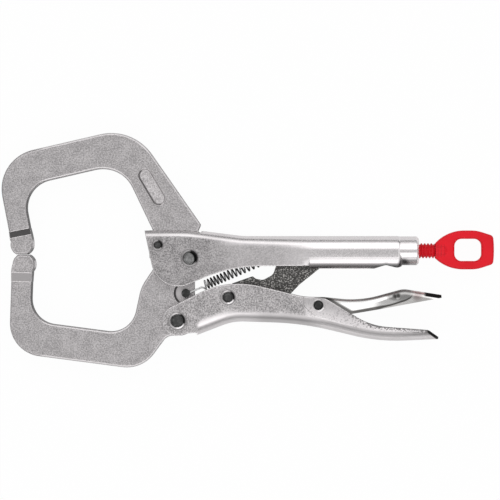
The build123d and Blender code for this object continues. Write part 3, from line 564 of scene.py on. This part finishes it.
def polished_nickel(name):
    """Bright plate on the lever, with faint streaks along it, painted shade on its steep sides, lower edge
    and sheared tip, and painted shade, highlight and a red reflection near its end.
    """
    made, t = material(name)
    place = t.place()
    x, y, _ = t.spot(place)
    facing = t.facing()
    stretch = t.add("ShaderNodeMapping")
    stretch.inputs["Scale"].default_value = (0.15, 1.0, 1.0)
    t.link(place, stretch.inputs[0])
    streak = t.noise(stretch.outputs[0], 700, 4.0, 0.6)
    mottle = t.noise(place, 120, 3.0, 0.55)
    colour = t.mix(mottle, grey(0.84, 0.01), grey(0.95, 0.01))
    # painted shade on the steep sides
    steep = t.span(facing, 0.88, 0.5)
    colour = t.mix(steep, colour, t.mix(t.span(x, 85, 115), grey(0.5, 0.02), grey(0.2, 0.02)))
    # painted shade along the lower edge
    low = t.span(t.beyond(x, y, *LEVER_LOW), 2.1, 1.3)
    colour = t.mix(t.times(low, t.span(x, 116, 106)), colour, grey(0.1, 0.04))
    # painted shade on a leaf-shaped patch round the dent, closed by a fold painted in shade with a painted
    # highlight below it
    above_fold = t.above_curve(x, y, FOLD)
    across = t.times(t.beyond(x, y, *LEAF), LEAF_NARROWING)
    leaf = t.span(t.length(t.apart(x, y, LEAF_MIDDLE), across), 10.5, 7.8, 0.0, 0.9)
    inner = t.times(t.between(x, 116, 121.5, 125.8, 127), t.span(above_fold, -0.2, 0.6, 0.0, 0.85))
    colour = t.mix(t.larger(leaf, inner), colour, grey(0.36, 0.02))
    below = t.times(t.span(above_fold, 0, -0.6), t.between(x, 108, 113, 124, 130))
    colour = t.mix(below, colour, grey(0.85, 0.02))
    fold = t.times(t.between(above_fold, -0.7, -0.2, 0.2, 0.9), t.between(x, 100, 106, 126.2, 127))
    colour = t.mix(fold, colour, grey(0.13, 0.04))
    # the dent is painted in shade
    dent = t.span(t.smaller(t.apart(x, y, DENT[0]), t.apart(x, y, DENT[1])), 2.2, 0.4)
    colour = t.mix(dent, colour, grey(0.1, 0.03))
    # painted shade and a painted red reflection behind the leaf
    colour = t.mix(t.between(x, 124.5, 129, 134, 139), colour, grey(0.72, 0.02))
    red_reflection = t.span(t.apart(x, y, RED_REFLECTION_SPOT), 4.2, 0.8, 0.0, 0.8)
    colour = t.mix(red_reflection, colour, (0.42, 0.345, 0.34, 1))
    # the lower handle's edge shades the plate beside it
    beside = t.times(t.span(t.beyond(x, y, TORN[0], TORN[1]), 2.4, 0.8), t.span(x, 98, 92))
    colour = t.mix(beside, colour, grey(0.12, 0.03))
    # painted shade on the sheared tip
    sheared = t.times(t.span(t.beyond(x, y, *LEVER_TOP), -2.4, -1.9), t.span(x, 132.5, 134.5))
    colour = t.mix(sheared, colour, SHEARED_SHADE)
    roughness = t.vary(streak, 0.16, 0.26)
    roughness = t.blend(steep, roughness, 0.55)
    roughness = t.blend(t.larger(sheared, dent), roughness, 0.7)
    # the web leans a little in front of the leaf, and so mirrors the bright ceiling
    lean = t.times(t.minus(y, LEVER_LEVEL), t.span(x, 117, 98, 0.0, -1.0))
    leaning = t.bump(streak, 0.12, 0.08, t.bump(lean, 1.0, 0.24))
    plain = t.bump(streak, 0.12, 0.08)
    normal = t.between_normals(t.span(facing, 0.86, 0.97), plain, leaning)
    t.finish(colour, roughness, normal, Metallic=1.0)
    return made


def dark_steel(name, tone, rough):
    """Dark oiled pins, with brighter spots of wear, and a painted shadow along the main pin's upper right
    edge.
    """
    made, t = material(name)
    place = t.place()
    x, y, _ = t.spot(place)
    wear_and_sheen = t.noise(place, 420, 3.0, 0.6)
    colour = t.mix(t.span(wear_and_sheen, 0.42, 0.7), grey(tone), grey(tone * 2.2))
    # painted shadow along the main pin's upper right edge
    crescent = t.span(t.apart(x, y, MAIN_PIN_LIT), 3.7, 4.3)
    crescent = t.times(crescent, t.span(t.apart(x, y, MAIN_PIN), 4.5, 4.2))
    colour = t.mix(crescent, colour, grey(0.012))
    roughness = t.vary(wear_and_sheen, rough + 0.1, rough - 0.1)
    normal = t.bump(t.noise(place, 1100), 0.2, 0.06)
    t.finish(colour, roughness, normal, Metallic=1.0)
    return made


def spring_steel(name):
    """Spring wire that is dark where it faces out, with a painted highlight that makes its leg and its far
    strands bright.
    """
    made, t = material(name)
    place = t.place()
    x, _, z = t.spot(place)
    wear_and_sheen = t.noise(place, 420, 3.0, 0.6)
    dark = t.mix(t.span(wear_and_sheen, 0.5, 0.75), grey(0.035), grey(0.08))
    middle = MID / MM
    # painted highlight on the leg and on the far strands
    bright = t.larger(t.span(x, 10.5, 9), t.span(z, middle + 0.3, middle - 0.6))
    colour = t.mix(bright, dark, grey(0.95))
    roughness = t.vary(wear_and_sheen, 0.45, 0.3)
    t.finish(colour, roughness, None, Metallic=t.span(bright, 0.0, 1.0, 0.5, 0.0))
    return made


def scaled_link(name):
    """The link's rough dark scale, with light specks."""
    made, t = material(name)
    place = t.place()
    specks = t.noise(place, 1300, 1.0, 0.6)
    coarse = t.noise(place, 420, 2.0, 0.6)
    tone = t.blend(0.25, specks, coarse)
    colour = t.mix(t.span(tone, 0.5, 0.64), grey(0.07, 0.03), grey(0.46, 0.03))
    normal = t.bump(tone, 0.5, 0.2)
    t.finish(colour, 0.55, normal, Metallic=0.9)
    return made


def red_coat(name, colour, rough):
    """A satin red coat with a slight orange peel and darker edges."""
    made, t = material(name)
    place = t.place()
    x, y, _ = t.spot(place)
    red, green, blue = colour
    peel = t.noise(place, 600)
    shade = t.noise(place, 60)
    tint = t.mix(t.vary(shade), (red * 0.9, green * 0.8, blue * 0.8, 1), (red, green, blue, 1))
    # faint ribs where the thread runs out into the eye, painted as darker shade
    wave = t.maths("SINE", t.times(x, 2 * math.pi * MM / PITCH))
    ribs = t.times(t.span(wave, 0.0, 0.8), t.between(x, 139.6, 140, 143, 147))
    ribs = t.times(ribs, t.between(y, 0, 0.8, 7.4, 8.2), 0.6)
    tint = t.mix(ribs, tint, (red * 0.7, green, blue, 1))
    rounded = t.rounded(1.2)
    edge = t.times(t.edge_mask(rounded, 0.01, 0.12), 0.5)
    tint = t.mix(edge, tint, (red * 0.55, green, blue, 1))
    roughness = t.vary(peel, rough - 0.05, rough + 0.06)
    normal = t.bump(peel, 0.08, 0.08, rounded)
    t.finish(tint, roughness, normal, Specular_IOR_Level=0.2)
    return made


FORGED = blasted_nickel("forged_nickel")
UPPER = upper_nickel("upper_nickel")
LOWER = lower_nickel("lower_nickel")
LEVER = polished_nickel("bright_nickel")
PIN = dark_steel("dark_pin", 0.075, 0.42)
RUBBED_PIN = dark_steel("rubbed_pin", 0.2, 0.45)
BLACK_PIN = dark_steel("black_pin", 0.045, 0.42)
WIRE = spring_steel("spring_wire")
LINK = scaled_link("dark_link")
RED = red_coat("red_eye", (0.84, 0.01, 0.023), 0.42)
THREAD = red_coat("red_thread", (0.76, 0.008, 0.018), 0.4)

FINISHES = {
    "upper_handle": UPPER,
    "fixed_jaw": FORGED,
    "jaw_lock_rivet": PIN,
    "main_pivot_rivet": RUBBED_PIN,
    "movable_jaw": FORGED,
    "spring_pin": BLACK_PIN,
    "lower_handle": LOWER,
    "handle_pivot_rivet": PIN,
    "link_rivet": PIN,
    "lever_rivet": BLACK_PIN,
    "toggle_link": LINK,
    "release_lever": LEVER,
    "return_spring": WIRE,
    "adjusting_screw": THREAD,
    "screw_eye": RED,
}
for name, finish in FINISHES.items():
    mesh = nodes[name].data
    mesh.materials.clear()
    mesh.materials.append(finish)


# Mesh helpers
def new_piece(name, points, faces, finish):
    """A smooth mesh with one finish."""
    mesh = bpy.data.meshes.new(name)
    mesh.from_pydata(points, [], faces)
    mesh.validate()
    for polygon in mesh.polygons:
        polygon.use_smooth = True
    piece = bpy.data.objects.new(name, mesh)
    bpy.context.scene.collection.objects.link(piece)
    mesh.materials.append(finish)
    return piece


def wire_piece(name, route, radius, finish, sides):
    """A round wire along a route, with its ends closed by shallow domes."""
    dome = 0.4 * radius
    points, faces = [], []
    last = len(route) - 1
    across = None
    for i, place in enumerate(route):
        heading = (route[min(i + 1, last)] - route[max(i - 1, 0)]).normalized()
        if across is None:
            across = heading.orthogonal().normalized()
        across = (across - heading * across.dot(heading)).normalized()
        up = heading.cross(across)
        for k in range(sides):
            angle = 2 * math.pi * k / sides
            points.append(place + (across * math.cos(angle) + up * math.sin(angle)) * radius)
    for i in range(last):
        for k in range(sides):
            a = i * sides + k
            b = i * sides + (k + 1) % sides
            faces.append((a, b, b + sides, a + sides))
    for end, beside in ((0, 1), (last, last - 1)):
        outward = (route[end] - route[beside]).normalized()
        points.append(route[end] + outward * dome)
        tip = len(points) - 1
        for k in range(sides):
            a = end * sides + k
            b = end * sides + (k + 1) % sides
            faces.append((b, a, tip) if end == 0 else (a, b, tip))
    return new_piece(name, points, faces, finish)


# The return spring, with its hooks on the jaw's pin and the handle's bar
SPRING_FRONT = Vector(SPRING_SEAT) * MM
SPRING_REAR = Vector((52.4, 3.193)) * MM
WIRE_RADIUS = 0.5 * MM
WIRE_SIDES = 12
HOOK_RADIUS = 2.1 * MM
HOOK_SWEEP = math.radians(220)
HOOK_STEPS = 24
FRONT_HOOK_START = math.radians(50)
REAR_HOOK_START = math.radians(90)
COIL_RADIUS = 2.35 * MM
COIL_START = 11.5 * MM
COIL_END = 52.0 * MM
COIL_TURNS = 16
LAST_TURN = 0.75
TURN_STEPS = 28
TIGHTER = 0.07
LEG_STEPS = 12
LEG_OFFSET = 0.45 * MM
LEG_FROM_HOOK = 0.35
LEG_TO_COIL = 0.28
LEG_DROP = 0.5
REAR_LEG_START = COIL_END + 2.2 * MM
spring_axis = (SPRING_REAR - SPRING_FRONT).normalized()
spring_length = (SPRING_REAR - SPRING_FRONT).length


def spring_point(along, across, out):
    """A point given along the spring, across it and up from the tool's middle."""
    x = SPRING_FRONT.x + spring_axis.x * along - spring_axis.y * across
    y = SPRING_FRONT.y + spring_axis.y * along + spring_axis.x * across
    return Vector((x, y, MID + out))


def soft_rise(share, part):
    """A soft rise from 0 to 1 over the last part of a stretch."""
    return max(0.0, (share - 1 + part) / part) ** 2


def spring_route():
    """The wire's middle line: front hook, leg, turns, rear leg and rear hook."""
    route = []
    for i in range(HOOK_STEPS + 1):
        angle = FRONT_HOOK_START + HOOK_SWEEP * i / HOOK_STEPS
        along, across = HOOK_RADIUS * math.cos(angle), HOOK_RADIUS * math.sin(angle)
        route.append(spring_point(along, across, COIL_RADIUS))
    # the leg comes in from the hook, runs near the axis and swings out to the first turn
    for i in range(1, LEG_STEPS):
        share = i / LEG_STEPS
        from_hook = HOOK_RADIUS * soft_rise(1 - share, LEG_FROM_HOOK)
        to_coil = COIL_RADIUS * soft_rise(share, LEG_TO_COIL)
        across = -max(LEG_OFFSET, from_hook, to_coil)
        out = COIL_RADIUS * (1 - soft_rise(share, LEG_DROP))
        route.append(spring_point(COIL_START * share, across, out))
    count = TURN_STEPS * COIL_TURNS
    for i in range(count + 1):
        share = i / count
        angle = math.pi / 2 + 2 * math.pi * (COIL_TURNS + LAST_TURN) * share
        # the turns lie closer together towards the jaw
        shifted = share - TIGHTER * math.sin(math.pi * share)
        along = COIL_START + (COIL_END - COIL_START) * shifted
        route.append(spring_point(along, -COIL_RADIUS * math.sin(angle), COIL_RADIUS * math.cos(angle)))
    for i in range(LEG_STEPS):
        along = REAR_LEG_START + (spring_length - REAR_LEG_START) * i / LEG_STEPS
        route.append(spring_point(along, HOOK_RADIUS, COIL_RADIUS))
    for i in range(HOOK_STEPS + 1):
        angle = REAR_HOOK_START - HOOK_SWEEP * i / HOOK_STEPS
        along = spring_length + HOOK_RADIUS * math.cos(angle)
        route.append(spring_point(along, HOOK_RADIUS * math.sin(angle), COIL_RADIUS))
    return route


spring = wire_piece("return_spring_wire", spring_route(), WIRE_RADIUS, WIRE, WIRE_SIDES)
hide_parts("return_spring")
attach(spring, "upper_body")
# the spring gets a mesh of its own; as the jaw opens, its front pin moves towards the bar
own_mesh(spring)


# The adjusting screw's helical thread, which turns with the eye
SCREW_Y = 4.1 * MM
SCREW_RADIUS = 4.3 * MM
SCREW_TIP = 83.4 * MM
SCREW_END = 139.6 * MM
SCREW_SIDES = 48
ROWS_PER_TURN = 12
THREAD_DEPTH = 0.85 * MM
THREAD_START = 1.4 * MM
THREAD_STOP = SCREW_END + 0.5 * MM
THREAD_RUN_OUT = 1.2 * MM
END_CHAMFER = 0.4 * MM
RIDGE_FULLNESS = 1.45
RIDGE_SLOPE = 3.6


def screw_mesh():
    """A shank whose radius follows the thread's ridge round and along it."""
    sides = SCREW_SIDES
    step = PITCH / ROWS_PER_TURN
    rows = int((SCREW_END - SCREW_TIP) / step)
    points, faces = [], []
    for i in range(rows + 1):
        x = SCREW_TIP + step * i
        ends = min(1.0, (x - SCREW_TIP) / THREAD_START, (THREAD_STOP - x) / THREAD_RUN_OUT)
        for k in range(sides):
            turn = k / sides
            phase = ((x - SCREW_TIP) / PITCH - turn) % 1.0
            ridge = min(1.0, max(0.0, RIDGE_FULLNESS - abs(phase - 0.5) * RIDGE_SLOPE))
            radius = SCREW_RADIUS - THREAD_DEPTH * (1 - ridge * max(0.0, ends))
            if i in (0, rows):
                radius -= END_CHAMFER
            angle = 2 * math.pi * turn
            points.append((x, SCREW_Y + radius * math.cos(angle), MID + radius * math.sin(angle)))
    for i in range(rows):
        for k in range(sides):
            a = i * sides + k
            b = i * sides + (k + 1) % sides
            faces.append((a, a + sides, b + sides, b))
    for row, x in ((0, SCREW_TIP), (rows, SCREW_TIP + step * rows)):
        points.append((x, SCREW_Y, MID))
        tip = len(points) - 1
        for k in range(sides):
            a = row * sides + k
            b = row * sides + (k + 1) % sides
            faces.append((a, b, tip) if row == 0 else (b, a, tip))
    return new_piece("adjusting_screw_thread", points, faces, THREAD)


thread = screw_mesh()
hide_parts("adjusting_screw")
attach(thread, "eye_body")


# Floor, light and camera
FLOOR_HALF = 3.0
FLOOR_LEVEL = -0.4 * MM
FLOOR_WHITE = 0.97
FLOOR_MIRRORED = 0.5
CEILING = 0.92
OVERHEAD = 0.48
CEILING_ENDS = 0.6
LEFT_WALL = 0.33
RIGHT_WALL = 0.14


def floor():
    """White paper that keeps the tool's faint shadow."""
    corners = ((-1, -1), (1, -1), (1, 1), (-1, 1))
    points = [(x * FLOOR_HALF, y * FLOOR_HALF, FLOOR_LEVEL) for x, y in corners]
    made, t = material("floor")
    path = t.add("ShaderNodeLightPath")
    seen = t.larger(path.outputs["Is Camera Ray"], path.outputs["Is Transmission Ray"])
    mirrored = t.times(path.outputs["Is Glossy Ray"], FLOOR_MIRRORED)
    share = t.larger(t.times(seen, FLOOR_WHITE), mirrored)
    paper = t.add("ShaderNodeBsdfDiffuse")
    paper.inputs["Color"].default_value = grey(0.9)
    glow = t.add("ShaderNodeEmission")
    glow.inputs["Color"].default_value = grey(1.0)
    glow.inputs["Strength"].default_value = 1.0
    both = t.add("ShaderNodeMixShader")
    t.link(share, both.inputs[0])
    t.link(paper.outputs[0], both.inputs[1])
    t.link(glow.outputs[0], both.inputs[2])
    output = t.add("ShaderNodeOutputMaterial")
    t.link(both.outputs[0], output.inputs[0])
    piece = new_piece("floor", points, [(0, 1, 2, 3)], made)


def world():
    """A bright ceiling with a dim spot overhead, ending in darker walls above the horizon."""
    made = bpy.data.worlds.new("studio")
    bpy.context.scene.world = made
    made.use_nodes = True
    t = Tree(made.node_tree)
    toward = t.parts(t.add("ShaderNodeTexCoord").outputs["Generated"])
    ceiling = t.span(toward[2], 0.9, 0.985, CEILING, OVERHEAD)
    ends = t.span(t.maths("ABSOLUTE", toward[0]), 0.3, 0.85, 1.0, CEILING_ENDS)
    walls = t.span(toward[0], 0.0, 0.7, LEFT_WALL, RIGHT_WALL)
    level = t.span(toward[2], 0.24, 0.5, walls, t.times(ceiling, ends))
    colour = t.add("ShaderNodeCombineColor")
    for socket in colour.inputs:
        t.link(level, socket)
    back = t.add("ShaderNodeBackground")
    t.link(colour.outputs[0], back.inputs["Color"])
    back.inputs["Strength"].default_value = 1.0
    output = t.add("ShaderNodeOutputWorld")
    t.link(back.outputs[0], output.inputs[0])


def softbox(name, place, aim):
    lamp = bpy.data.lights.new(name, "AREA")
    lamp.shape = "RECTANGLE"
    lamp.size = LAMP_WIDE
    lamp.size_y = LAMP_TALL
    lamp.energy = LAMP_POWER
    made = bpy.data.objects.new(name, lamp)
    made.location = place
    made.rotation_euler = (Vector(aim) - Vector(place)).to_track_quat("-Z", "Y").to_euler()
    bpy.context.scene.collection.objects.link(made)


# the middle of the view, and the width that it shows: 500 pixels of 0.57 mm
CENTRE = (34.2 * MM, 4.56 * MM, MID)
FRAME_WIDTH = 500 * 0.57 * MM
DISTANCE = 1.5
SENSOR = 36
LAMP_ACROSS = 0.75
LAMP_HEIGHT = 1.1
LAMP_WIDE = 2.0
LAMP_TALL = 1.0
LAMP_POWER = 3.2

floor()
world()
for name, across in (("key_above", LAMP_ACROSS), ("key_below", -LAMP_ACROSS)):
    softbox(name, (0.0, across, LAMP_HEIGHT), CENTRE)

camera_data = bpy.data.cameras.new("camera")
camera_data.sensor_width = SENSOR
camera_data.lens = SENSOR * DISTANCE / FRAME_WIDTH
camera_data.clip_start = 0.05
camera_data.clip_end = 20
camera = bpy.data.objects.new("camera", camera_data)
camera.location = (CENTRE[0], CENTRE[1], MID + DISTANCE)
bpy.context.scene.collection.objects.link(camera)
bpy.context.scene.camera = camera
bpy.context.scene.view_settings.view_transform = "Standard"
